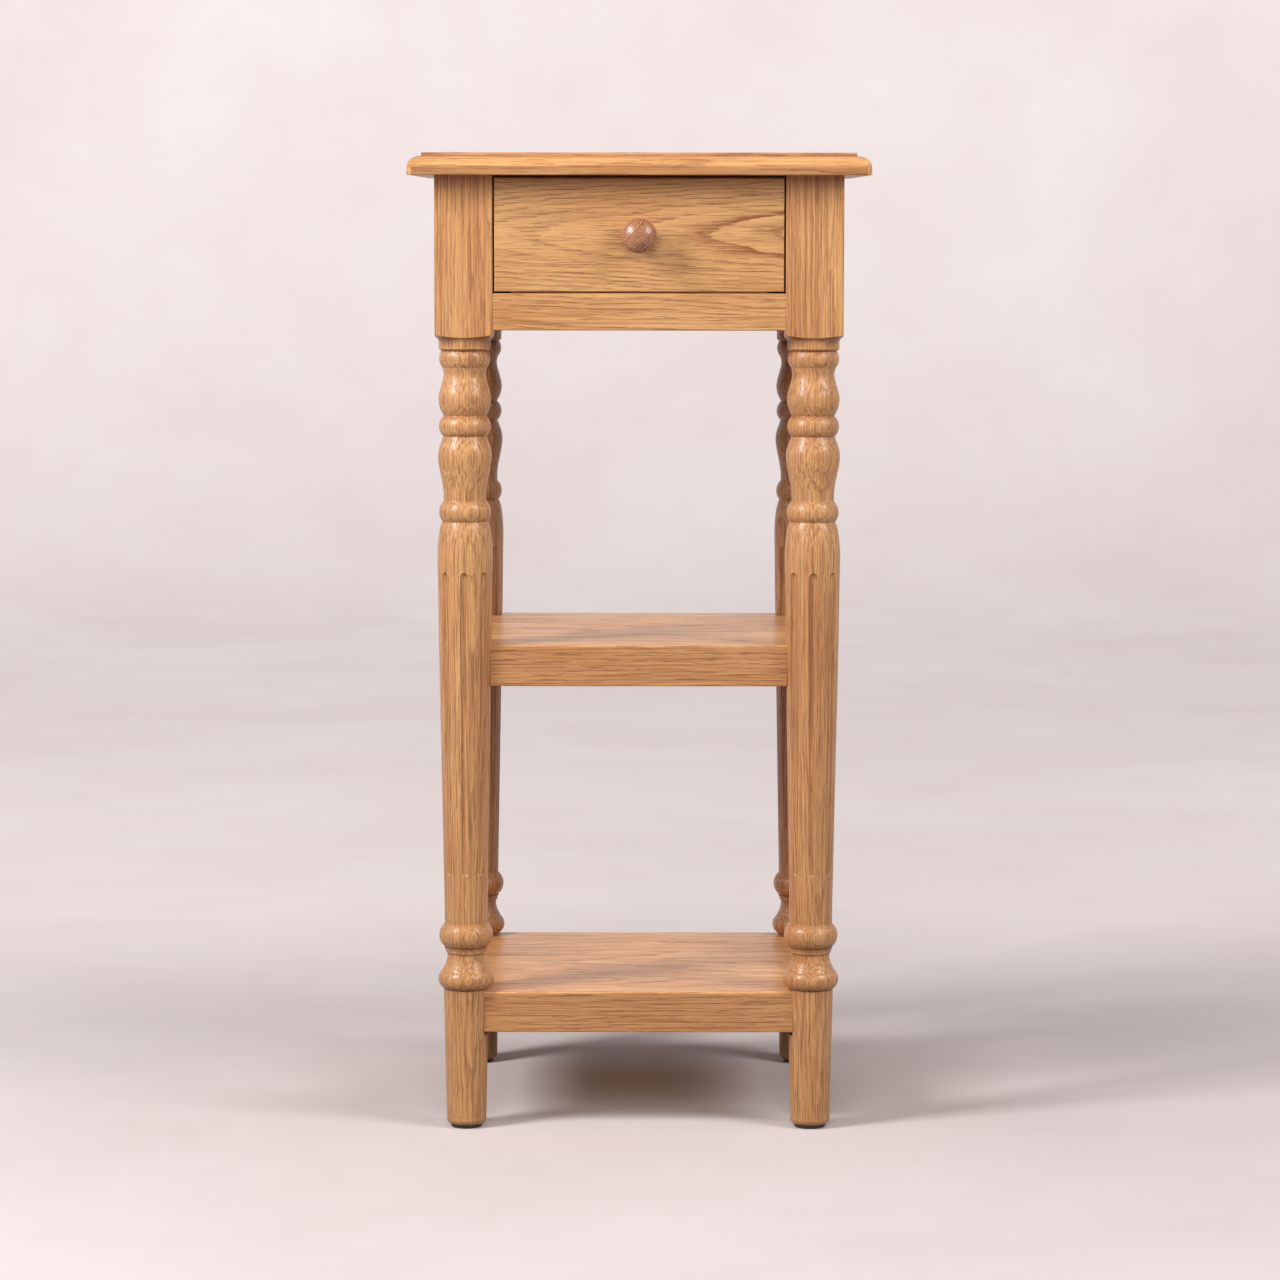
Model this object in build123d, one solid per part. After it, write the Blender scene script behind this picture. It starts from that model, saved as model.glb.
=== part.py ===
from build123d import *
import math
import os

# Side table with one drawer and two shelves, carried on four turned and fluted legs.
# Millimetres. +Z is up, the origin lies on the floor under the middle of the top,
# and the drawer opens towards -Y.

# Whole table
HEIGHT = 750.0
TOP_SIZE = 350.0
TOP_THICKNESS = 17.0
LEG_CENTRE = 133.0  # from the middle of the table to a leg's axis, in X and in Y
LEG_SQUARE = 44.0
UNDER_TOP = HEIGHT - TOP_THICKNESS
LEG_OUTER = LEG_CENTRE + LEG_SQUARE / 2
LEG_INNER = LEG_CENTRE - LEG_SQUARE / 2

# Moulded edge of the top: a small upright step, an ovolo and a plain edge
EDGE_STEP = 2.8
EDGE_STEP_INSET = 11.0
EDGE_OVOLO_INSET = 10.6
EDGE_OVOLO_RADIUS = 9.7
EDGE_OVOLO_PROUD = 0.07  # how far its circle would pass the plain edge, which it meets at an angle
CUTTER_REACH = 5.0
TOP_CORNER_RADIUS = 5.0

# Feet
GLIDE_THICKNESS = 3.0
GLIDE_RADIUS = 12.0
NAIL_RADIUS = 1.1
NAIL_HEAD_RADIUS = 3.0
NAIL_HEAD_THICKNESS = 1.0
NAIL_LENGTH = 16.0

# Turned leg
BLOCK_BOTTOM = 613.0
COLUMN_BOTTOM, COLUMN_BOTTOM_RADIUS = 160.0, 16.4
COLUMN_KNEE, COLUMN_KNEE_RADIUS = 380.0, 20.5  # the taper is gentler above this height
COLUMN_TOP, COLUMN_TOP_RADIUS = 441.8, 21.2
SEAM_TURN = 202.5  # the turned surfaces close between two flutes, away from the shelf seats
BEYOND_BLOCK = 32.0  # a radius outside the corners of the square block
FLUTE_COUNT = 8
FLUTE_CUTTER_RADIUS = 4.1
FLUTE_LOW, FLUTE_LOW_DEPTH = 199.7, 1.0
FLUTE_HIGH, FLUTE_HIGH_DEPTH = 428.1, 1.9
LEG_ARRIS = 1.0

# Shelves: distance from the leg's axis to its seat flat, and to the shelf's outer edge
SHELF_THICKNESS = 31.5
MIDDLE_SHELF_TOP = 375.0
MIDDLE_SEAT = 19.4
MIDDLE_OVERHANG = 6.5
LOWER_SHELF_TOP = 107.0
LOWER_SEAT = 14.0
LOWER_OVERHANG = 10.0
SHELF_ROUND = 2.0
SEAT_ABOVE = 0.5
SEAT_BELOW = 3.0

# Frame under the top
FRONT_SETBACK = 0.7
APRON_SETBACK = 1.0
APRON_THICKNESS = 20.0
APRON_BOTTOM = 616.0
RAIL_TOP = 644.0
UPPER_RAIL_DEPTH = 22.5
KICKER_THICKNESS = 19.5
RUNNER_INNER = 98.0
RUNNER_THICKNESS = 14.0
GUIDE_HEIGHT = 20.0
STOP_HEIGHT = 16.0
ARRIS = 0.8

# Drawer
SIDE_GAP = 1.3
TOP_GAP = 2.0
BOTTOM_GAP = 1.3
RUNNING_GAP = 0.3
KICKER_GAP = 1.5
DRAWER_FRONT_THICKNESS = 20.0
DRAWER_SIDE_THICKNESS = 12.0
DRAWER_BACK_THICKNESS = 12.0
DRAWER_SIDE_END = 120.0
DRAWER_BACK_FACE = 115.0
DRAWER_BACK_DROP = 4.0  # how far the back's top lies under the top of the sides
HOUSING_DEPTH = 4.0
PANEL_THICKNESS = 6.0
PANEL_BOTTOM = 652.0
GROOVE_DEPTH = 5.0
TAIL_COUNT = 3
TAIL_LENGTH = 14.0
TAIL_ROOT = 12.0
TAIL_TIP = 16.0

# Knob
KNOB_HEIGHT = 687.5
KNOB_RADIUS = 13.2
KNOB_LENGTH = 24.5
KNOB_WIDEST = 15.0  # distance of its widest turn from the drawer's face
KNOB_SCREW_RADIUS = 2.0
KNOB_SCREW_DEPTH = 12.0
KNOB_SCREW_HEAD_RADIUS = 4.0
KNOB_SCREW_HEAD_HEIGHT = 2.6

# Dowels and screws
DOWEL_RADIUS = 4.0
RAIL_DOWEL_RADIUS = 3.0
DOWEL_DEPTH = 15.0
SHELF_DOWEL_IN_LEG = 12.0
SHELF_DOWEL_IN_SHELF = 18.0
APRON_DOWEL_HEIGHTS = (640.0, 675.0, 709.0)
RAIL_DOWEL_HEIGHTS = (623.0, 637.0)
UPPER_RAIL_DOWEL_HEIGHT = 723.0
TOP_SCREW = {"radius": 1.8, "head_radius": 3.8, "length": 28.0}
RUNNER_SCREW = {"radius": 2.0, "head_radius": 4.2, "length": 50.0}
PANEL_SCREW = {"radius": 1.5, "head_radius": 3.0, "length": 22.0}
RUNNER_SCREW_FROM_MIDDLE = 70.0
KICKER_SCREW_FROM_MIDDLE = 40.0
TOP_SCREW_FROM_MIDDLE = (122.0, 70.0)
RAIL_SCREW_FROM_MIDDLE = 60.0
PANEL_SCREW_FROM_MIDDLE = 60.0

# Faces worked out from the sizes above
FRONT_FACE = -LEG_OUTER + FRONT_SETBACK
RAIL_BACK = FRONT_FACE + APRON_THICKNESS
DRAWER_FRONT_BACK = FRONT_FACE + DRAWER_FRONT_THICKNESS
APRON_OUTER = LEG_OUTER - APRON_SETBACK
APRON_INNER = APRON_OUTER - APRON_THICKNESS
APRON_MIDDLE = (APRON_OUTER + APRON_INNER) / 2
KICKER_BOTTOM = UNDER_TOP - KICKER_THICKNESS
DRAWER_HALF = LEG_INNER - SIDE_GAP
SIDE_INNER = DRAWER_HALF - DRAWER_SIDE_THICKNESS
SIDE_BOTTOM = RAIL_TOP + RUNNING_GAP
SIDE_TOP = KICKER_BOTTOM - KICKER_GAP
PANEL_TOP = PANEL_BOTTOM + PANEL_THICKNESS
UPPER_RAIL_FRONT = -LEG_INNER - UPPER_RAIL_DEPTH
SIDES = {"left": -1, "right": 1}
ENDS = {"front": -1, "back": 1}


def block(x, y, z):
    """Box that fills the three (low, high) ranges."""
    size = [high - low for low, high in (x, y, z)]
    middle = [(low + high) / 2 for low, high in (x, y, z)]
    return Pos(*middle) * Box(*size)


def span(sign, near, far):
    """Range between two distances from the middle, on the side that sign gives."""
    return tuple(sorted((sign * near, sign * far)))


def rod(start, direction, length, radius):
    """Round bar from start along direction."""
    base = (Align.CENTER, Align.CENTER, Align.MIN)
    return Plane(origin=start, z_dir=direction) * Cylinder(radius, length, align=base)


def turned(edges):
    """Solid turned about Z from a closed half section drawn as (radius, height)."""
    return revolve(Plane.XZ * make_face(edges), Axis.Z)


def screw(head_at, direction, radius, head_radius, length):
    """Countersunk screw with its flat head at head_at and its point along direction."""
    outline = Polyline(
        (0, 0),
        (head_radius, 0),
        (radius, head_radius - radius),
        (radius, length - 2 * radius),
        (0, length),
        close=True,
    )
    return Plane(origin=head_at, z_dir=direction) * turned(outline.edges())


def board(x, y, z, grain):
    """Board whose four long arrises, which run along the grain axis, are eased."""
    plain = block(x, y, z)
    return fillet(plain.edges().filter_by(grain), ARRIS)


class Section:
    """Pen that draws a turned half section upwards as (radius, height) points."""

    def __init__(self, radius, height):
        self.at = (radius, height)
        self.edges = []

    def line(self, radius, height):
        self.edges.append(Line(self.at, (radius, height)))
        self.at = (radius, height)

    def arc(self, through, end):
        self.edges.append(ThreePointArc(self.at, through, end))
        self.at = end

    def curve(self, *points, start=None, end=None):
        tangents = [start or (0, 1), end or (0, 1)] if start or end else None
        self.edges.append(Spline(self.at, *points, tangents=tangents))
        self.at = points[-1]

    def dome(self, rise):
        """Quarter of an ellipse from here up to the axis."""
        radius, height = self.at
        turns = (math.radians(30), math.radians(60))
        points = [(radius * math.cos(turn), height + rise * math.sin(turn)) for turn in turns]
        self.curve(*points, (0, height + rise), start=(0, 1), end=(-1, 0))


def leg_section():
    """Half section of a leg, from the foot up to a round bar wider than the square block."""
    pen = Section(0, GLIDE_THICKNESS)
    # Plain round foot with a rounded end
    pen.line(13.2, GLIDE_THICKNESS)
    pen.arc((14.8, 4.6), (15.3, 8.0))
    pen.line(17.4, 108.0)
    pen.line(17.0, 108.6)
    # Low bead, cove and small fillet
    pen.line(17.6, 108.8)
    pen.arc((21.5, 116.2), (19.3, 121.7))
    pen.line(18.6, 122.3)
    pen.curve((15.2, 129.4), (14.5, 134.6), start=(-0.45, 1), end=(0, 1))
    pen.line(14.6, 136.3)
    pen.line(15.7, 136.8)
    pen.arc((16.0, 138.9), (16.9, 140.4))
    pen.line(16.3, 141.0)
    # Bead under the column
    pen.line(16.7, 141.3)
    pen.arc((20.7, 151.0), (16.6, 159.2))
    pen.line(COLUMN_BOTTOM_RADIUS, COLUMN_BOTTOM)
    # Tapering column with a rounded shoulder
    pen.line(COLUMN_KNEE_RADIUS, COLUMN_KNEE)
    pen.line(COLUMN_TOP_RADIUS, COLUMN_TOP)
    pen.curve((20.9, 451.0), (19.7, 462.0), (17.4, 469.8), start=(0.01, 1), end=(-0.5, 1))
    # Bead and neck under the urn
    pen.line(17.7, 470.2)
    pen.arc((19.85, 476.8), (16.4, 485.2))
    pen.line(16.2, 486.2)
    pen.curve(
        (16.3, 492.0), (18.2, 504.0), (20.0, 513.0), (20.6, 521.0), (18.7, 529.3), (16.6, 535.0),
        start=(0, 1),
        end=(-0.3, 1),
    )
    # Bead between the urn and the bulb
    pen.line(17.0, 535.4)
    pen.arc((19.8, 543.2), (16.4, 550.4))
    # Bulb and neck
    pen.line(16.3, 550.8)
    pen.curve(
        (18.2, 554.5), (20.1, 563.5), (18.3, 572.3), (16.1, 581.0), (17.2, 587.6),
        start=(0.5, 1),
        end=(0.35, 1),
    )
    # Top bead, collar and the shoulder that runs out on the block's corners
    pen.line(17.5, 588.0)
    pen.arc((19.6, 594.4), (17.9, 600.0))
    pen.line(18.6, 600.6)
    pen.arc((19.6, 601.4), (19.8, 603.0))
    pen.line(19.8, 606.4)
    pen.arc((20.3, 608.6), (21.8, 610.2))
    pen.line(BEYOND_BLOCK, BLOCK_BOTTOM)
    pen.line(BEYOND_BLOCK, UNDER_TOP)
    pen.line(0, UNDER_TOP)
    pen.line(0, GLIDE_THICKNESS)
    return pen.edges


def column_radius(height):
    """Radius of the fluted column at a height."""
    low, low_radius = (COLUMN_BOTTOM, COLUMN_BOTTOM_RADIUS)
    high, high_radius = (COLUMN_KNEE, COLUMN_KNEE_RADIUS)
    if height > COLUMN_KNEE:
        low, low_radius = high, high_radius
        high, high_radius = (COLUMN_TOP, COLUMN_TOP_RADIUS)
    return low_radius + (height - low) / (high - low) * (high_radius - low_radius)


def flutes():
    """Round-ended cutters round the column, one facing each side of the table."""
    ball = FLUTE_CUTTER_RADIUS
    low = Vector(column_radius(FLUTE_LOW) + ball - FLUTE_LOW_DEPTH, 0, FLUTE_LOW)
    high = Vector(column_radius(FLUTE_HIGH) + ball - FLUTE_HIGH_DEPTH, 0, FLUTE_HIGH)
    run = (high - low).length
    pen = Section(0, -ball)
    pen.arc((ball * math.sin(math.pi / 4), -ball * math.cos(math.pi / 4)), (ball, 0))
    pen.line(ball, run)
    pen.arc((ball * math.sin(math.pi / 4), run + ball * math.cos(math.pi / 4)), (0, run + ball))
    pen.line(0, -ball)
    cutter = Plane(origin=low, z_dir=high - low) * turned(pen.edges)
    return [Rot(0, 0, turn * 360 / FLUTE_COUNT) * cutter for turn in range(FLUTE_COUNT)]


def leg_blank():
    """Leg on its own axis, with the seats for both shelves facing +X and +Y."""
    square = Pos(0, 0, UNDER_TOP / 2) * Box(LEG_SQUARE, LEG_SQUARE, UNDER_TOP)
    square = fillet(square.edges().filter_by(Axis.Z), LEG_ARRIS)
    leg = (Rot(0, 0, SEAM_TURN) * turned(leg_section()) & square) - flutes()
    for top, seat, below in (
        (MIDDLE_SHELF_TOP, MIDDLE_SEAT, SEAT_ABOVE),
        (LOWER_SHELF_TOP, LOWER_SEAT, SEAT_BELOW),
    ):
        height = (top - SHELF_THICKNESS - below, top + SEAT_ABOVE)
        width = (-LEG_SQUARE, LEG_SQUARE)
        leg -= block((seat, LEG_SQUARE), width, height)
        leg -= block(width, (seat, LEG_SQUARE), height)
    return leg


def shelf(top, seat, overhang):
    """Square shelf notched at its corners round the legs, with eased outer arrises."""
    outer = LEG_CENTRE + overhang
    inner = LEG_CENTRE - seat
    reach = (-outer, outer)
    height = (top - SHELF_THICKNESS, top)
    panel = block(reach, (-inner, inner), height) + block((-inner, inner), reach, height)
    long_edges = panel.edges().filter_by(lambda edge: edge.length > inner)
    panel = fillet(long_edges.group_by(Axis.Z)[-1], SHELF_ROUND)
    long_edges = panel.edges().filter_by(lambda edge: edge.length > inner)
    return fillet(long_edges.group_by(Axis.Z)[0], ARRIS)


def top_board():
    """Square top with the same moulding cut on all four edges, mitred at the corners."""
    half = TOP_SIZE / 2
    foot = HEIGHT - EDGE_STEP
    start = (half - EDGE_OVOLO_INSET, foot)
    centre_x = half + EDGE_OVOLO_PROUD - EDGE_OVOLO_RADIUS
    centre_z = foot - math.sqrt(EDGE_OVOLO_RADIUS**2 - (start[0] - centre_x) ** 2)
    slope = EDGE_OVOLO_RADIUS * math.sqrt(0.5)
    outside, above = half + CUTTER_REACH, HEIGHT + CUTTER_REACH
    step = (half - EDGE_STEP_INSET, HEIGHT)
    end = (half + EDGE_OVOLO_PROUD, centre_z)
    section = [
        Polyline(step, start),
        ThreePointArc(start, (centre_x + slope, centre_z + slope), end),
        Polyline(end, (outside, centre_z), (outside, above), (step[0], above), step),
    ]
    edges = [edge for line in section for edge in line.edges()]
    cutter = extrude(Plane.XZ * make_face(edges), amount=outside, both=True)
    outline = RectangleRounded(TOP_SIZE, TOP_SIZE, TOP_CORNER_RADIUS)
    slab = extrude(Plane.XY.offset(UNDER_TOP) * outline, amount=TOP_THICKNESS)
    slab = fillet(slab.edges().group_by(Axis.Z)[0], ARRIS)
    return slab - [Rot(0, 0, quarter * 90) * cutter for quarter in range(4)]


def foot_glide():
    """Round pad on its own axis, recessed on top for the head of its nail."""
    pad = rod((0, 0, 0), (0, 0, 1), GLIDE_THICKNESS, GLIDE_RADIUS)
    pad = fillet(pad.edges().group_by(Axis.Z)[0], ARRIS)
    recess = (0, 0, GLIDE_THICKNESS - NAIL_HEAD_THICKNESS)
    return pad - rod(recess, (0, 0, 1), NAIL_HEAD_THICKNESS, NAIL_HEAD_RADIUS)


def glide_nail():
    """Nail on its own axis, with its head in the glide and its shank in the foot."""
    low = GLIDE_THICKNESS - NAIL_HEAD_THICKNESS
    head = rod((0, 0, low), (0, 0, 1), NAIL_HEAD_THICKNESS, NAIL_HEAD_RADIUS)
    return head + rod((0, 0, low), (0, 0, 1), NAIL_LENGTH, NAIL_RADIUS)


def dowels():
    """Dowels of the aprons, of the front rails and of the shelves."""
    length = 2 * DOWEL_DEPTH
    near = LEG_INNER - DOWEL_DEPTH
    apron, rail, shelves = [], [], []
    for side in SIDES.values():
        for height in APRON_DOWEL_HEIGHTS:
            for end in ENDS.values():
                start = (side * APRON_MIDDLE, end * near, height)
                apron.append(rod(start, (0, end, 0), length, DOWEL_RADIUS))
            start = (side * near, APRON_MIDDLE, height)
            apron.append(rod(start, (side, 0, 0), length, DOWEL_RADIUS))
        for height in RAIL_DOWEL_HEIGHTS:
            start = (side * near, (FRONT_FACE + RAIL_BACK) / 2, height)
            rail.append(rod(start, (side, 0, 0), length, RAIL_DOWEL_RADIUS))
        start = (side * near, UPPER_RAIL_FRONT + UPPER_RAIL_DEPTH / 2, UPPER_RAIL_DOWEL_HEIGHT)
        rail.append(rod(start, (side, 0, 0), length, DOWEL_RADIUS))
        for top, seat in ((MIDDLE_SHELF_TOP, MIDDLE_SEAT), (LOWER_SHELF_TOP, LOWER_SEAT)):
            for end in ENDS.values():
                inner = LEG_CENTRE - seat - SHELF_DOWEL_IN_SHELF
                start = (side * inner, end * LEG_CENTRE, top - SHELF_THICKNESS / 2)
                reach = SHELF_DOWEL_IN_SHELF + SHELF_DOWEL_IN_LEG
                shelves.append(rod(start, (side, 0, 0), reach, DOWEL_RADIUS))
    return apron, rail, shelves


def side_screws(height, along):
    """Screws that hold a runner or a kicker to each side apron."""
    return [
        screw((side * RUNNER_INNER, end * along, height), (side, 0, 0), **RUNNER_SCREW)
        for side in SIDES.values()
        for end in ENDS.values()
    ]


def top_fixings():
    """Screws up through the kickers and the upper rail into the top."""
    across, along = TOP_SCREW_FROM_MIDDLE
    rail_middle = UPPER_RAIL_FRONT + UPPER_RAIL_DEPTH / 2
    places = [(side * across, end * along) for side in SIDES.values() for end in ENDS.values()]
    places += [(side * RAIL_SCREW_FROM_MIDDLE, rail_middle) for side in SIDES.values()]
    return [screw((x, y, KICKER_BOTTOM), (0, 0, 1), **TOP_SCREW) for x, y in places]


def tail_cutters(side):
    """Dovetails of one drawer side, as solids that widen towards the front."""
    tails = []
    for number in range(TAIL_COUNT):
        middle = SIDE_BOTTOM + (SIDE_TOP - SIDE_BOTTOM) * (number + 0.5) / TAIL_COUNT
        corners = (
            (DRAWER_FRONT_BACK, middle - TAIL_ROOT / 2),
            (DRAWER_FRONT_BACK - TAIL_LENGTH, middle - TAIL_TIP / 2),
            (DRAWER_FRONT_BACK - TAIL_LENGTH, middle + TAIL_TIP / 2),
            (DRAWER_FRONT_BACK, middle + TAIL_ROOT / 2),
        )
        face = Plane.YZ * make_face(Polyline(*corners, close=True).edges())
        tail = extrude(face, amount=DRAWER_SIDE_THICKNESS)
        start = SIDE_INNER if side > 0 else -DRAWER_HALF
        tails.append(Pos(start, 0, 0) * tail)
    return tails


def knob():
    """Ball-shaped turned knob on the drawer front, with its foot and short neck."""
    pen = Section(0, 0)
    pen.line(7.6, 0)
    pen.arc((8.1, 0.9), (7.4, 1.9))
    pen.arc((6.5, 2.6), (6.6, 3.6))
    pen.curve((11.2, 7.9), (KNOB_RADIUS, KNOB_WIDEST), start=(1, 0.3), end=(0, 1))
    pen.dome(KNOB_LENGTH - KNOB_WIDEST)
    pen.line(0, 0)
    return Plane(origin=(0, FRONT_FACE, KNOB_HEIGHT), z_dir=(0, -1, 0)) * turned(pen.edges)


def knob_screw():
    """Pan-head screw from inside the drawer through its front into the knob."""
    start = (0, DRAWER_FRONT_BACK, KNOB_HEIGHT)
    shank = rod(start, (0, -1, 0), DRAWER_FRONT_THICKNESS + KNOB_SCREW_DEPTH, KNOB_SCREW_RADIUS)
    head = rod(start, (0, 1, 0), KNOB_SCREW_HEAD_HEIGHT, KNOB_SCREW_HEAD_RADIUS)
    return shank + fillet(head.edges().group_by(Axis.Y)[-1], ARRIS)


def drawer():
    """Every piece of the drawer."""
    panel_x = (-SIDE_INNER - GROOVE_DEPTH, SIDE_INNER + GROOVE_DEPTH)
    panel_front = DRAWER_FRONT_BACK - GROOVE_DEPTH
    panel = block(panel_x, (panel_front, DRAWER_BACK_FACE), (PANEL_BOTTOM, PANEL_TOP))
    groove = block(panel_x, (panel_front, DRAWER_SIDE_END), (PANEL_BOTTOM, PANEL_TOP))
    back_x = SIDE_INNER + HOUSING_DEPTH
    back_y = (DRAWER_BACK_FACE - DRAWER_BACK_THICKNESS, DRAWER_BACK_FACE)
    back = block((-back_x, back_x), back_y, (PANEL_TOP, SIDE_TOP - DRAWER_BACK_DROP))
    screws = [
        screw((x, sum(back_y) / 2, PANEL_BOTTOM), (0, 0, 1), **PANEL_SCREW)
        for x in (-PANEL_SCREW_FROM_MIDDLE, 0, PANEL_SCREW_FROM_MIDDLE)
    ]
    front = block(
        (-DRAWER_HALF, DRAWER_HALF),
        (FRONT_FACE, DRAWER_FRONT_BACK),
        (RAIL_TOP + BOTTOM_GAP, UNDER_TOP - TOP_GAP),
    )
    front = fillet(front.faces().sort_by(Axis.Y)[0].edges(), ARRIS)
    front -= groove
    fixing = knob_screw()
    pieces = {}
    for name, side in SIDES.items():
        tails = tail_cutters(side)
        front -= tails
        blank = block(
            span(side, SIDE_INNER, DRAWER_HALF),
            (DRAWER_FRONT_BACK, DRAWER_SIDE_END),
            (SIDE_BOTTOM, SIDE_TOP),
        )
        blank = fillet(blank.edges().filter_by(Axis.Y).group_by(Axis.Z)[-1], ARRIS)
        pieces[f"drawer_side_{name}"] = (blank + tails) - groove - back
    pieces["drawer_front"] = front - fixing
    pieces["drawer_back"] = back - screws
    pieces["drawer_bottom"] = panel - screws
    pieces["drawer_bottom_screws"] = screws
    pieces["drawer_knob"] = knob() - fixing
    pieces["knob_screw"] = fixing
    return pieces


def frame():
    """Every piece that stands still."""
    apron_dowels, rail_dowels, shelf_dowels = dowels()
    runner_screws = side_screws(RAIL_TOP - RUNNER_THICKNESS / 2, RUNNER_SCREW_FROM_MIDDLE)
    kicker_screws = side_screws((KICKER_BOTTOM + UNDER_TOP) / 2, KICKER_SCREW_FROM_MIDDLE)
    top_screws = top_fixings()
    between_legs = (-LEG_INNER, LEG_INNER)
    pieces = {
        "top_board": top_board() - top_screws,
        "middle_shelf": shelf(MIDDLE_SHELF_TOP, MIDDLE_SEAT, MIDDLE_OVERHANG) - shelf_dowels,
        "lower_shelf": shelf(LOWER_SHELF_TOP, LOWER_SEAT, LOWER_OVERHANG) - shelf_dowels,
        "back_apron": board(
            between_legs, (APRON_INNER, APRON_OUTER), (APRON_BOTTOM, UNDER_TOP), Axis.X
        ) - apron_dowels,
        "front_lower_rail": board(
            between_legs, (FRONT_FACE, RAIL_BACK), (APRON_BOTTOM, RAIL_TOP), Axis.X
        ) - rail_dowels,
        "front_upper_rail": board(
            between_legs, (UPPER_RAIL_FRONT, -LEG_INNER), (KICKER_BOTTOM, UNDER_TOP), Axis.X
        ) - rail_dowels - top_screws,
        "apron_dowels": apron_dowels,
        "rail_dowels": rail_dowels,
        "shelf_dowels": shelf_dowels,
        "top_screws": top_screws,
        "runner_screws": runner_screws,
        "kicker_screws": kicker_screws,
    }
    blank, pad, nail, nails = leg_blank(), foot_glide(), glide_nail(), []
    for side_name, side in SIDES.items():
        x_beside_leg = span(side, RUNNER_INNER, LEG_INNER)
        x_between_legs = span(side, LEG_INNER, APRON_INNER)
        apron = board(
            span(side, APRON_INNER, APRON_OUTER), between_legs, (APRON_BOTTOM, UNDER_TOP), Axis.Y
        )
        pieces[f"side_apron_{side_name}"] = apron - apron_dowels - runner_screws - kicker_screws
        height = (RAIL_TOP - RUNNER_THICKNESS, RAIL_TOP)
        runner = block(x_beside_leg, (RAIL_BACK, APRON_INNER), height)
        runner += block(x_between_legs, between_legs, height)
        pieces[f"drawer_runner_{side_name}"] = runner - runner_screws
        guide_height = (RAIL_TOP, RAIL_TOP + GUIDE_HEIGHT)
        pieces[f"drawer_guide_{side_name}"] = block(x_between_legs, between_legs, guide_height)
        kicker = block(
            span(side, RUNNER_INNER, APRON_INNER), between_legs, (KICKER_BOTTOM, UNDER_TOP)
        )
        pieces[f"drawer_kicker_{side_name}"] = kicker - kicker_screws - top_screws
        stop_y = (DRAWER_SIDE_END + RUNNING_GAP, APRON_INNER)
        stop_height = (RAIL_TOP, RAIL_TOP + STOP_HEIGHT)
        pieces[f"drawer_stop_{side_name}"] = block(x_beside_leg, stop_y, stop_height)
        for end_name, end in ENDS.items():
            place = Pos(side * LEG_CENTRE, end * LEG_CENTRE, 0)
            leg = mirror(blank, about=Plane.YZ) if side > 0 else blank
            leg = mirror(leg, about=Plane.XZ) if end > 0 else leg
            nails.append(place * nail)
            corner = f"{end_name}_{side_name}"
            pieces[f"leg_{corner}"] = (
                (place * leg) - apron_dowels - rail_dowels - shelf_dowels - nails[-1]
            )
            pieces[f"foot_glide_{corner}"] = place * pad
    pieces["glide_nails"] = nails
    return pieces


def write(pieces):
    """Write each piece, or each group of like pieces, to its own STEP file."""
    os.makedirs("parts", exist_ok=True)
    for name, shape in pieces.items():
        whole = Compound(children=shape) if isinstance(shape, list) else shape
        export_step(whole, f"parts/{name}.step")


write(frame() | drawer())
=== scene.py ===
import math

import bmesh
import bpy
from mathutils import Euler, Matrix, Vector


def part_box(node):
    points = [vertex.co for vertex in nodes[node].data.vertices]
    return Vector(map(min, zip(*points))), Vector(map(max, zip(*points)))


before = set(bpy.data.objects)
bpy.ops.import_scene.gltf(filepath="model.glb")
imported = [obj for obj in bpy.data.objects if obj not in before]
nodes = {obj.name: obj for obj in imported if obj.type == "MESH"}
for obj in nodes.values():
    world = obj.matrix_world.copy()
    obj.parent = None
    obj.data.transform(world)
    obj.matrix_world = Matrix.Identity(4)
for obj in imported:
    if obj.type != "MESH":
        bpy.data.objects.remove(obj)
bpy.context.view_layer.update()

MM = 0.001
scene = bpy.context.scene


def srgb(red, green, blue):
    """Linear colour of an 8-bit sRGB colour."""
    def linear(c):
        c /= 255
        return c / 12.92 if c <= 0.04045 else ((c + 0.055) / 1.055) ** 2.4
    return (linear(red), linear(green), linear(blue), 1.0)


# ---------------------------------------------------------------- node helpers

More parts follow.
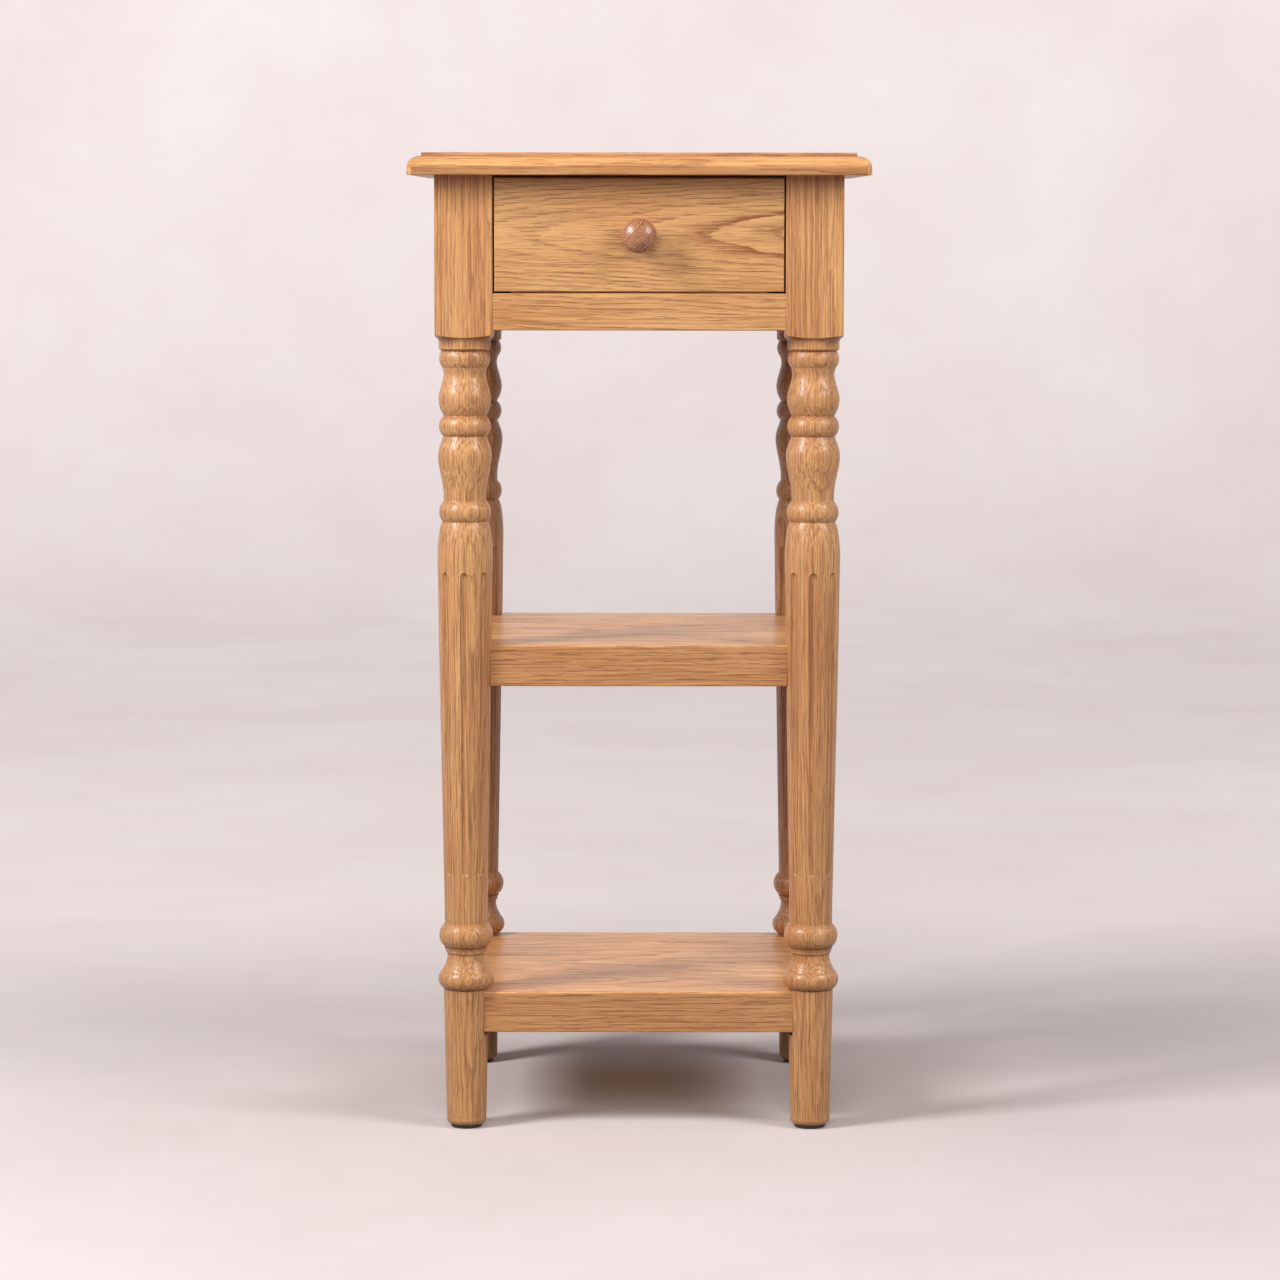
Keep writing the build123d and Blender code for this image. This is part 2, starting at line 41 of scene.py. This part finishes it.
class Tree:
    """Adds nodes to a node tree; every call returns the output socket it makes."""

    def __init__(self, tree):
        self.tree = tree

    def put(self, socket, value):
        if isinstance(value, bpy.types.NodeSocket):
            self.tree.links.new(value, socket)
        else:
            socket.default_value = value

    def node(self, kind, **settings):
        n = self.tree.nodes.new(kind)
        for key, value in settings.items():
            setattr(n, key, value)
        return n

    def math(self, operation, a, b=0.0, c=0.0, clamp=False):
        n = self.node("ShaderNodeMath", operation=operation, use_clamp=clamp)
        for socket, value in zip(n.inputs, (a, b, c)):
            self.put(socket, value)
        return n.outputs[0]

    def vector(self, operation, a, b=(0.0, 0.0, 0.0)):
        n = self.node("ShaderNodeVectorMath", operation=operation)
        self.put(n.inputs[0], a)
        self.put(n.inputs[1], b)
        return n.outputs["Value" if operation == "LENGTH" else "Vector"]

    def split(self, v):
        n = self.node("ShaderNodeSeparateXYZ")
        self.put(n.inputs[0], v)
        return n.outputs[0], n.outputs[1], n.outputs[2]

    def join(self, x, y, z):
        n = self.node("ShaderNodeCombineXYZ")
        for socket, value in zip(n.inputs, (x, y, z)):
            self.put(socket, value)
        return n.outputs[0]

    def noise(self, v, detail=2.0, roughness=0.5, distortion=0.0, scale=1.0):
        n = self.node("ShaderNodeTexNoise", noise_dimensions="3D")
        self.put(n.inputs["Vector"], v)
        n.inputs["Scale"].default_value = scale
        n.inputs["Detail"].default_value = detail
        n.inputs["Roughness"].default_value = roughness
        n.inputs["Distortion"].default_value = distortion
        return n.outputs[0]

    def range(self, value, low, high, to_low=0.0, to_high=1.0, smooth=False):
        n = self.node("ShaderNodeMapRange", interpolation_type="SMOOTHSTEP" if smooth else "LINEAR")
        for socket, v in zip(n.inputs, (value, low, high, to_low, to_high)):
            self.put(socket, v)
        return n.outputs[0]

    def ramp(self, value, stops):
        n = self.node("ShaderNodeValToRGB")
        elements = n.color_ramp.elements
        while len(elements) < len(stops):
            elements.new(0.5)
        for element, (position, colour) in zip(elements, stops):
            element.position = position
            element.color = colour if len(colour) == 4 else (*colour, 1.0)
        self.put(n.inputs[0], value)
        return n.outputs[0]

    def mix(self, factor, a, b, blend="MIX"):
        n = self.node("ShaderNodeMix", data_type="RGBA", blend_type=blend)
        self.put(n.inputs["Factor"], factor)
        self.put(n.inputs[6], a)
        self.put(n.inputs[7], b)
        return n.outputs[2]


def grey(level):
    return (level, level, level, 1.0)


# ---------------------------------------------------------------- wood figure

def make_figure_group():
    """Growth rings round a pith, pores and fibres, in the grain frame: mm, with X along the grain."""
    group = bpy.data.node_groups.new("oak_figure", "ShaderNodeTree")
    face = group.interface
    for name, kind in (
        ("Grain", "NodeSocketVector"), ("Pith", "NodeSocketVector"), ("Slope", "NodeSocketVector"),
        ("Seed", "NodeSocketVector"), ("Ring", "NodeSocketFloat"), ("Phase", "NodeSocketFloat"),
        ("Wave", "NodeSocketFloat"), ("Pore", "NodeSocketFloat"), ("Bold", "NodeSocketFloat"),
    ):
        face.new_socket(name, in_out="INPUT", socket_type=kind)
    for name in ("Rings", "Pores", "Fibres", "Clouds", "Streaks"):
        face.new_socket(name, in_out="OUTPUT", socket_type="NodeSocketFloat")
    t = Tree(group)
    inp = t.node("NodeGroupInput").outputs
    out = t.node("NodeGroupOutput").inputs
    seeded = t.vector("ADD", inp["Grain"], inp["Seed"])

    def stretched(along, across):
        return t.vector("MULTIPLY", seeded, (1 / along, 1 / across, 1 / across))

    # Distance from the pith line, which may slope through the board.
    u, v, w = t.split(inp["Grain"])
    pith_u, pith_v, pith_w = t.split(inp["Pith"])
    slope_u, slope_v, slope_w = t.split(inp["Slope"])
    off_v = t.math("SUBTRACT", v, t.math("MULTIPLY_ADD", slope_v, u, pith_v))
    off_w = t.math("SUBTRACT", w, t.math("MULTIPLY_ADD", slope_w, u, pith_w))
    radius = t.vector("LENGTH", t.join(0.0, off_v, off_w))

    long_wave = t.math("SUBTRACT", t.noise(stretched(95, 26), 1.5, 0.45), 0.5)
    short_wave = t.math("SUBTRACT", t.noise(stretched(17, 4.5), 2.0, 0.55), 0.5)
    radius = t.math("MULTIPLY_ADD", long_wave, inp["Wave"], radius)
    radius = t.math("MULTIPLY_ADD", short_wave, 1.5, radius)
    drift = t.noise(t.join(t.math("MULTIPLY", radius, 0.11), 3.7, 1.3), 1.0)
    phase = t.math("ADD", t.math("DIVIDE", radius, inp["Ring"]), inp["Phase"])
    phase = t.math("MULTIPLY_ADD", drift, 1.6, phase)
    ring = t.ramp(
        t.math("FRACT", phase),
        ((0.0, grey(0.75)), (0.07, grey(1.0)), (0.24, grey(0.55)), (0.48, grey(0.16)), (0.80, grey(0.0)),
         (0.95, grey(0.0)), (1.0, grey(0.75))),
    )
    own = t.node("ShaderNodeTexWhiteNoise", noise_dimensions="1D")
    t.put(own.inputs["W"], t.math("FLOOR", phase))
    own_strength = t.range(own.outputs["Value"], 0, 1, 0.3, 1.0)
    patch = t.range(t.noise(stretched(120, 11), 1.0), 0.3, 0.7, 0.35, 1.0)
    broken = t.range(t.noise(stretched(30, 1.3), 2.0, 0.55), 0.33, 0.58, 0.25, 1.0)
    inside = t.range(t.math("SUBTRACT", radius, inp["Bold"]), 0.0, 2.0, 1.0, 0.3)
    own_strength = t.math("MULTIPLY", own_strength, inside)
    rings = t.math("MULTIPLY", t.math("MULTIPLY", ring, own_strength), t.math("MULTIPLY", patch, broken))
    t.put(out["Rings"], rings)

    # Pores are short dark dashes along the grain, most of them in the early wood.
    dash = t.noise(stretched(36, 0.85), 2.0, 0.55)
    fine_dash = t.noise(stretched(11, 0.45), 1.0, 0.5)
    dash = t.math("MULTIPLY_ADD", fine_dash, 0.35, t.math("MULTIPLY", dash, 0.80))
    threshold = t.math("MULTIPLY_ADD", ring, -0.10, inp["Pore"])
    pores = t.range(dash, threshold, t.math("ADD", threshold, 0.08), 0, 1, smooth=True)
    t.put(out["Pores"], pores)

    t.put(out["Streaks"], t.noise(stretched(130, 1.5), 3.0, 0.6))
    t.put(out["Fibres"], t.noise(stretched(38, 0.42), 2.0, 0.6))
    t.put(out["Clouds"], t.noise(stretched(150, 45), 2.0, 0.5))
    return group


FIGURE = make_figure_group()

ORDER = {"X": (0, 1, 2), "Y": (1, 0, 2), "Z": (2, 0, 1)}  # object axes in the grain frame, by grain axis
JOINT_LINE = 0.5  # half the width of the dark line where two staves meet, mm
GRAIN_DEPTH = 0.25 * MM
# Painted shade: in grooves and crevices of a part's own mesh, the wood colour is darkened towards the colour
# below, up to this reach.
PAINTED_SHADE_REACH = 9 * MM  # how far a groove's walls darken each other
PAINTED_GROOVE_SHADE = srgb(156, 112, 90)

OAK = dict(
    light=srgb(238, 182, 121), body=srgb(223, 162, 103), dark=srgb(156, 94, 50), pore=srgb(122, 70, 38),
    roughness=0.38, coat=0.22, coat_roughness=0.18,
)
LEG_TONE = dict(OAK, light=srgb(234, 177, 117), body=srgb(217, 156, 100), dark=srgb(148, 88, 50))


def wood(name, along, pith, slope=(0.0, 0.0), seed=0, ring=4.0, phase=0.0, wave=9.0, pore=0.64,
         tone=OAK, staves=None, contrast=1.0, painted_light_scale=1.0, ring_strength=1.0, dashes=1.0, bold=1000.0):
    """A wood material, with painted shade darkening its grooves. All lengths are in mm.

    along: the axis of the grain
    pith, slope: where the tree's centre line crosses on the two other axes, and its drift per mm of grain
    ring, phase, wave: growth ring spacing, its offset in rings, and how far the rings wander
    pore: level of the noise above which a pore shows; bold: radius beyond which rings are faint
    staves: (axis, first joint, width) of a glued-up panel
    contrast, ring_strength, dashes: strength of streaks and fibres, of rings, and of pores; the brightness
    factor is painted light and shade, which makes a piece lighter or darker for how light falls on it
    """
    mat = bpy.data.materials.new(name)
    mat.use_nodes = True
    t = Tree(mat.node_tree)
    bsdf = mat.node_tree.nodes["Principled BSDF"]
    place = t.node("ShaderNodeTexCoord").outputs["Object"]
    axes = t.split(t.vector("MULTIPLY", place, (1 / MM, 1 / MM, 1 / MM)))
    grain = t.join(*(axes[i] for i in ORDER[along]))
    seed_vector = (seed * 171.3 + 40.0, seed * 97.7 + 11.0, seed * 53.1 - 20.0)
    figure = t.node("ShaderNodeGroup", node_tree=FIGURE)
    joint = None
    if staves:
        axis, first, width = staves
        step = t.math("DIVIDE", t.math("SUBTRACT", axes["XYZ".index(axis)], first), width)
        number = t.math("FLOOR", step)
        stave_place = t.join(t.math("MULTIPLY", number, 313.0), t.math("MULTIPLY", number, 57.0), 0.0)
        t.put(figure.inputs["Seed"], t.vector("ADD", stave_place, seed_vector))
        t.put(figure.inputs["Pith"], t.join(
            0.0,
            t.math("MULTIPLY_ADD", number, width * 0.93, pith[0]),
            t.math("MULTIPLY_ADD", t.math("PINGPONG", number, 1.0), -2.0 * pith[1], pith[1])))
        edge = t.math("ABSOLUTE", t.math("SUBTRACT", t.math("FRACT", t.math("ADD", step, 0.5)), 0.5))
        joint = t.range(edge, 0.0, JOINT_LINE / width, 1.0, 0.0, smooth=True)
    else:
        t.put(figure.inputs["Seed"], seed_vector)
        t.put(figure.inputs["Pith"], (0.0, *pith))
    for socket, value in (
        ("Grain", grain), ("Slope", (0.0, *slope)), ("Ring", ring), ("Phase", phase),
        ("Wave", wave), ("Pore", pore), ("Bold", bold),
    ):
        t.put(figure.inputs[socket], value)
    rings, pores, fibres, clouds, streaks = (
        figure.outputs[k] for k in ("Rings", "Pores", "Fibres", "Clouds", "Streaks"))

    # Painted light and shade: the whole tone is scaled by the piece's brightness factor.
    light, body, dark, pore_colour = (
        tuple(c * painted_light_scale for c in tone[k][:3]) + (1.0,) for k in ("light", "body", "dark", "pore"))
    ground = t.mix(t.range(clouds, 0.35, 0.65, 0.0, 1.0), light, body)
    ground = t.mix(t.range(streaks, 0.44, 0.68, 0.0, 0.48 * contrast), ground, dark)
    ground = t.mix(t.range(fibres, 0.42, 0.72, 0.0, 0.32 * contrast), ground, dark)
    colour = t.mix(t.math("MULTIPLY", rings, ring_strength, clamp=True), ground, dark)
    colour = t.mix(t.math("MULTIPLY", pores, 0.55 * dashes, clamp=True), colour, pore_colour)
    if joint is not None:
        colour = t.mix(t.math("MULTIPLY", joint, 0.45), colour, pore_colour)
    # Painted shade: an ambient occlusion node darkens the colour where the part's own surfaces close over it,
    # in grooves, flutes and steps.
    painted_shade_ao = t.node("ShaderNodeAmbientOcclusion", samples=8, only_local=True)
    painted_shade_ao.inputs["Distance"].default_value = PAINTED_SHADE_REACH
    painted_shade = t.range(painted_shade_ao.outputs["AO"], 0.45, 0.98, 1.0, 0.0)
    colour = t.mix(painted_shade, colour, PAINTED_GROOVE_SHADE, blend="MULTIPLY")
    t.put(bsdf.inputs["Base Color"], colour)
    rough = t.math("MULTIPLY_ADD", pores, 0.16, tone["roughness"])
    t.put(bsdf.inputs["Roughness"], t.math("MULTIPLY_ADD", t.range(streaks, 0.3, 0.7), 0.07, rough))
    height = t.math("MULTIPLY_ADD", pores, -0.7, t.math("MULTIPLY", fibres, 0.25))
    height = t.math("MULTIPLY_ADD", rings, -0.25, height)
    bump = t.node("ShaderNodeBump")
    bump.inputs["Strength"].default_value = 0.35
    bump.inputs["Distance"].default_value = GRAIN_DEPTH
    t.put(bump.inputs["Height"], height)
    t.put(bsdf.inputs["Normal"], bump.outputs[0])
    bsdf.inputs["IOR"].default_value = 1.5
    bsdf.inputs["Coat Weight"].default_value = tone["coat"]
    bsdf.inputs["Coat Roughness"].default_value = tone["coat_roughness"]
    return mat


KNOB_Z = 687.5  # height of the knob's axis, mm
LEG = 133.0  # distance of each leg's axis from the middle planes, mm

KNOB_TONE = dict(
    light=srgb(204, 142, 98), body=srgb(188, 124, 84), dark=srgb(96, 48, 26), pore=srgb(86, 44, 26),
    roughness=0.32, coat=0.5, coat_roughness=0.16,
)
INNER_TONE = dict(
    light=srgb(226, 192, 150), body=srgb(214, 178, 134), dark=srgb(188, 148, 106), pore=srgb(160, 120, 82),
    roughness=0.5, coat=0.0, coat_roughness=0.3,
)
PLY_TONE = dict(
    light=srgb(230, 202, 164), body=srgb(220, 188, 148), dark=srgb(200, 166, 126), pore=srgb(178, 142, 104),
    roughness=0.5, coat=0.0, coat_roughness=0.3,
)
DOWEL_TONE = dict(
    light=srgb(226, 196, 152), body=srgb(216, 184, 140), dark=srgb(196, 160, 116), pore=srgb(170, 130, 92),
    roughness=0.6, coat=0.0, coat_roughness=0.3,
)


def leg_pith(x, y, turn, distance=70.0):
    """Pith of a leg's stock: a line beside the leg, at a turn in degrees to the right of the front."""
    a = math.radians(turn)
    return (x + distance * math.sin(a), y - distance * math.cos(a))


LEG_LOOK = dict(tone=LEG_TONE, ring=1.9, wave=5.0, contrast=1.3, ring_strength=0.95, dashes=0.9)
LEG_WOOD = {
    "leg_front_left": dict(LEG_LOOK, pith=leg_pith(-LEG, -LEG, 12), slope=(0.012, 0.004), seed=1),
    "leg_front_right": dict(LEG_LOOK, pith=leg_pith(LEG, -LEG, 19), slope=(-0.006, 0.006), seed=2, wave=4.0,
                            contrast=1.4),
    # The back legs are made darker by their brightness factor of 0.74: painted shade.
    "leg_back_left": dict(LEG_LOOK, pith=leg_pith(-LEG, LEG, -60), slope=(0.008, -0.005), seed=3, ring=2.0,
                          painted_light_scale=0.74),
    "leg_back_right": dict(LEG_LOOK, pith=leg_pith(LEG, LEG, 130), slope=(-0.01, 0.005), seed=4, painted_light_scale=0.74),
}
# Several brightness factors below are painted light and shade: the drawer front and lower rail are darker,
# and the top and both shelves lighter.
MATERIALS = {
    "drawer_front": wood("oak_drawer_front", "X", pith=(-104.1, KNOB_Z), slope=(-0.044, 0.0), seed=5,
                         ring=2.2, phase=14.2, wave=2.0, painted_light_scale=0.9, ring_strength=2.6, contrast=0.8,
                         bold=48.6),
    "front_lower_rail": wood("oak_front_rail", "X", pith=(-100.0, 700.0), slope=(0.01, -0.05), seed=6,
                             painted_light_scale=0.94, contrast=1.15),
    "front_upper_rail": wood("oak_upper_rail", "X", pith=(-100.0, 800.0), seed=7),
    "back_apron": wood("oak_back_apron", "X", pith=(110.0, 660.0), slope=(0.03, 0.01), seed=8),
    "side_apron_left": wood("oak_side_apron_left", "Y", pith=(-110.0, 655.0), slope=(0.02, 0.02), seed=9),
    "side_apron_right": wood("oak_side_apron_right", "Y", pith=(100.0, 700.0), slope=(-0.03, 0.0), seed=10),
    "top_board": wood("oak_top", "X", pith=(-120.0, 700.0), slope=(0.0, 0.015), seed=11,
                      staves=("Y", -175.0, 70.0), painted_light_scale=1.08, ring_strength=0.6, contrast=0.8),
    "middle_shelf": wood("oak_middle_shelf", "X", pith=(-100.0, 400.0), slope=(0.01, 0.02), seed=12,
                         staves=("Y", -139.5, 93.0), painted_light_scale=1.22, ring=2.8, contrast=1.3, dashes=1.2,
                         ring_strength=0.55),
    "lower_shelf": wood("oak_lower_shelf", "X", pith=(-90.0, 150.0), slope=(0.0, 0.03), seed=13,
                        staves=("Y", -143.0, 95.3), painted_light_scale=1.22, ring=3.0, contrast=1.2, dashes=1.2,
                        ring_strength=0.55),
    "drawer_knob": wood("oak_knob", "Y", pith=(-62.0, KNOB_Z + 58.0), seed=14, ring=2.2, wave=1.0,
                        tone=KNOB_TONE, ring_strength=1.5),
}
for leg, look in LEG_WOOD.items():
    MATERIALS[leg] = wood("oak_" + leg, "Z", **look)
for seed, node in enumerate((
    "drawer_side_left", "drawer_side_right", "drawer_runner_left", "drawer_runner_right", "drawer_guide_left",
    "drawer_guide_right", "drawer_kicker_left", "drawer_kicker_right", "drawer_back", "drawer_stop_left",
    "drawer_stop_right",
)):
    low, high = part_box(node)
    size = high - low
    along = "X" if size.x >= size.y else "Y"
    centre = (low + high) / MM / 2
    across = centre.y if along == "X" else centre.x
    MATERIALS[node] = wood("inner_" + node, along, pith=(across + 45.0, centre.z - 30.0), slope=(0.02, 0.02),
                           seed=20 + seed, ring=3.2, tone=INNER_TONE, contrast=0.7)
MATERIALS["drawer_bottom"] = wood("birch_ply", "X", pith=(0.0, 560.0), slope=(0.01, 0.05), seed=40, ring=4.0,
                                  tone=PLY_TONE, contrast=0.6)
for seed, node in enumerate(("apron_dowels", "rail_dowels", "shelf_dowels")):
    MATERIALS[node] = wood("beech_" + node, "Y" if node == "shelf_dowels" else "X", pith=(30.0, 500.0),
                           seed=50 + seed, tone=DOWEL_TONE, contrast=0.5)


def plastic(name):
    mat = bpy.data.materials.new(name)
    mat.use_nodes = True
    t = Tree(mat.node_tree)
    bsdf = mat.node_tree.nodes["Principled BSDF"]
    place = t.node("ShaderNodeTexCoord").outputs["Object"]
    grain = t.noise(place, 3.0, 0.6, scale=2600.0)
    wear = t.noise(place, 2.0, 0.5, scale=90.0)
    t.put(bsdf.inputs["Base Color"], t.ramp(wear, ((0.3, srgb(38, 30, 27)), (0.7, srgb(58, 47, 42)))))
    t.put(bsdf.inputs["Roughness"], t.range(wear, 0.3, 0.7, 0.42, 0.6))
    bump = t.node("ShaderNodeBump")
    bump.inputs["Strength"].default_value = 0.25
    bump.inputs["Distance"].default_value = 0.1 * MM
    t.put(bump.inputs["Height"], grain)
    t.put(bsdf.inputs["Normal"], bump.outputs[0])
    return mat


def steel(name):
    mat = bpy.data.materials.new(name)
    mat.use_nodes = True
    t = Tree(mat.node_tree)
    bsdf = mat.node_tree.nodes["Principled BSDF"]
    place = t.node("ShaderNodeTexCoord").outputs["Object"]
    patches = t.noise(place, 4.0, 0.6, scale=420.0)
    zinc = t.ramp(patches, ((0.3, srgb(176, 172, 160)), (0.7, srgb(206, 203, 196))))
    t.put(bsdf.inputs["Base Color"], zinc)
    t.put(bsdf.inputs["Roughness"], t.range(patches, 0.3, 0.7, 0.24, 0.42))
    bsdf.inputs["Metallic"].default_value = 1.0
    return mat


PLASTIC = plastic("glide_plastic_black")
STEEL = steel("zinc_steel")
for name, obj in nodes.items():
    if name in MATERIALS:
        mat = MATERIALS[name]
    elif name.startswith("foot_glide"):
        mat = PLASTIC
    else:
        mat = STEEL
    obj.data.materials.clear()
    obj.data.materials.append(mat)


# ---------------------------------------------------------------- stage

def make_stage():
    """A round studio bowl: a flat floor that curves up into a wall on every side, open above.

    It glows a little more with distance, painted light because the object's lights don't reach its far parts,
    and a little more at the left than at the right.
    """
    floor_radius, cove, wall_top, turns, cove_steps = 4.0, 1.2, 3.4, 128, 16
    glow_forward, glow_reach = 0.35, 8.0
    profile = [(r, 0.0) for r in (0.0, 0.5, 1.0, 2.0, 3.0, floor_radius)]
    for k in range(1, cove_steps + 1):
        a = math.radians(90 * k / cove_steps)
        profile.append((floor_radius + cove * math.sin(a), cove * (1 - math.cos(a))))
    profile.append((floor_radius + cove, wall_top))
    bm = bmesh.new()
    centre = bm.verts.new((0, 0, 0))
    rows = []
    for r, z in profile[1:]:
        rows.append([bm.verts.new((r * math.cos(math.tau * i / turns), r * math.sin(math.tau * i / turns), z))
                     for i in range(turns)])
    for i in range(turns):
        j = (i + 1) % turns
        bm.faces.new((centre, rows[0][i], rows[0][j]))
        for low, high in zip(rows, rows[1:]):
            bm.faces.new((low[i], high[i], high[j], low[j]))
    mesh = bpy.data.meshes.new("studio_bowl")
    for f in bm.faces:
        f.smooth = True
    bm.to_mesh(mesh)
    bm.free()
    obj = bpy.data.objects.new("studio_bowl", mesh)
    scene.collection.objects.link(obj)
    mat = bpy.data.materials.new("studio_plaster_painted_glow")
    mat.use_nodes = True
    t = Tree(mat.node_tree)
    bsdf = mat.node_tree.nodes["Principled BSDF"]
    place = t.node("ShaderNodeTexCoord").outputs["Object"]
    broad = t.noise(place, 4.0, 0.55, distortion=0.6, scale=1.7)
    fine = t.noise(place, 5.0, 0.6, distortion=0.3, scale=7.0)
    tone = t.math("MULTIPLY_ADD", fine, 0.35, t.math("MULTIPLY", broad, 0.65))
    plaster = t.ramp(tone, (
        (0.3, srgb(222, 209, 208)), (0.5, srgb(228, 216, 215)), (0.7, srgb(233, 223, 222))))
    t.put(bsdf.inputs["Base Color"], plaster)
    bsdf.inputs["Roughness"].default_value = 0.9
    bsdf.inputs["Specular IOR Level"].default_value = 0.2
    x, y, z = t.split(place)
    # Painted light: the backdrop emits its own plaster colour, more with distance from the table.
    out = t.vector("LENGTH", t.join(x, t.math("ADD", y, glow_forward), 0.0))
    glow = t.ramp(t.math("DIVIDE", t.math("ADD", out, z), glow_reach), (
        (0.05, grey(0.0)), (0.10, grey(0.13)), (0.17, grey(0.46)), (0.27, grey(0.59)), (0.56, grey(0.70)),
        (0.72, grey(0.81)), (0.85, grey(0.90))))
    t.put(bsdf.inputs["Emission Color"], plaster)
    # Painted light: the glow is a little stronger at the left than at the right.
    painted_glow_left_to_right = t.range(x, -1.2, 1.2, 1.02, 0.94)
    t.put(bsdf.inputs["Emission Strength"], t.math("MULTIPLY", glow, painted_glow_left_to_right))
    mat.cycles.emission_sampling = "NONE"
    mesh.materials.append(mat)
    obj.visible_diffuse = False


make_stage()


# ---------------------------------------------------------------- light and camera

def softbox(name, azimuth, elevation, distance, size, power, target, glossy=True):
    """An area light of size (width, height). azimuth: degrees from the front, positive to the right."""
    light = bpy.data.lights.new(name, "AREA")
    light.shape = "RECTANGLE"
    light.size, light.size_y = size
    light.energy = power
    obj = bpy.data.objects.new(name, light)
    scene.collection.objects.link(obj)
    a, e = math.radians(azimuth), math.radians(elevation)
    target = Vector(target)
    place = target + distance * Vector((math.sin(a) * math.cos(e), -math.cos(a) * math.cos(e), math.sin(e)))
    obj.location = place
    obj.rotation_euler = (target - place).to_track_quat("-Z", "Y").to_euler()
    obj.visible_camera = False
    obj.visible_glossy = glossy


softbox("key_left", -55, 33, 2.4, (0.6, 1.0), 47, (0, 0, 0.45))
softbox("key_right", 55, 33, 2.5, (0.9, 1.1), 28, (0, 0, 0.45))
softbox("front_fill", -4, 25, 3.4, (1.4, 1.4), 36, (0, 0, 0.35), glossy=False)

world = bpy.data.worlds.new("studio_light")
scene.world = world
world.use_nodes = True
world.node_tree.nodes["Background"].inputs["Color"].default_value = (1.0, 0.965, 0.96, 1.0)
world.node_tree.nodes["Background"].inputs["Strength"].default_value = 0.14

CAMERA_PLACE = (0.0006, -3.5236, 0.7056)
CAMERA_DOWN = 5.51  # degrees below the horizon
CAMERA_TILT = -0.065  # degrees about the line of sight
camera_data = bpy.data.cameras.new("camera")
camera_data.sensor_width = 36.0
camera_data.lens = 124.875
camera_data.clip_end = 50.0
camera = bpy.data.objects.new("camera", camera_data)
scene.collection.objects.link(camera)
camera.location = CAMERA_PLACE
camera.rotation_euler = Euler((math.radians(90 - CAMERA_DOWN), math.radians(CAMERA_TILT), 0.0))
scene.camera = camera

scene.view_settings.view_transform = "Standard"
scene.view_settings.look = "None"
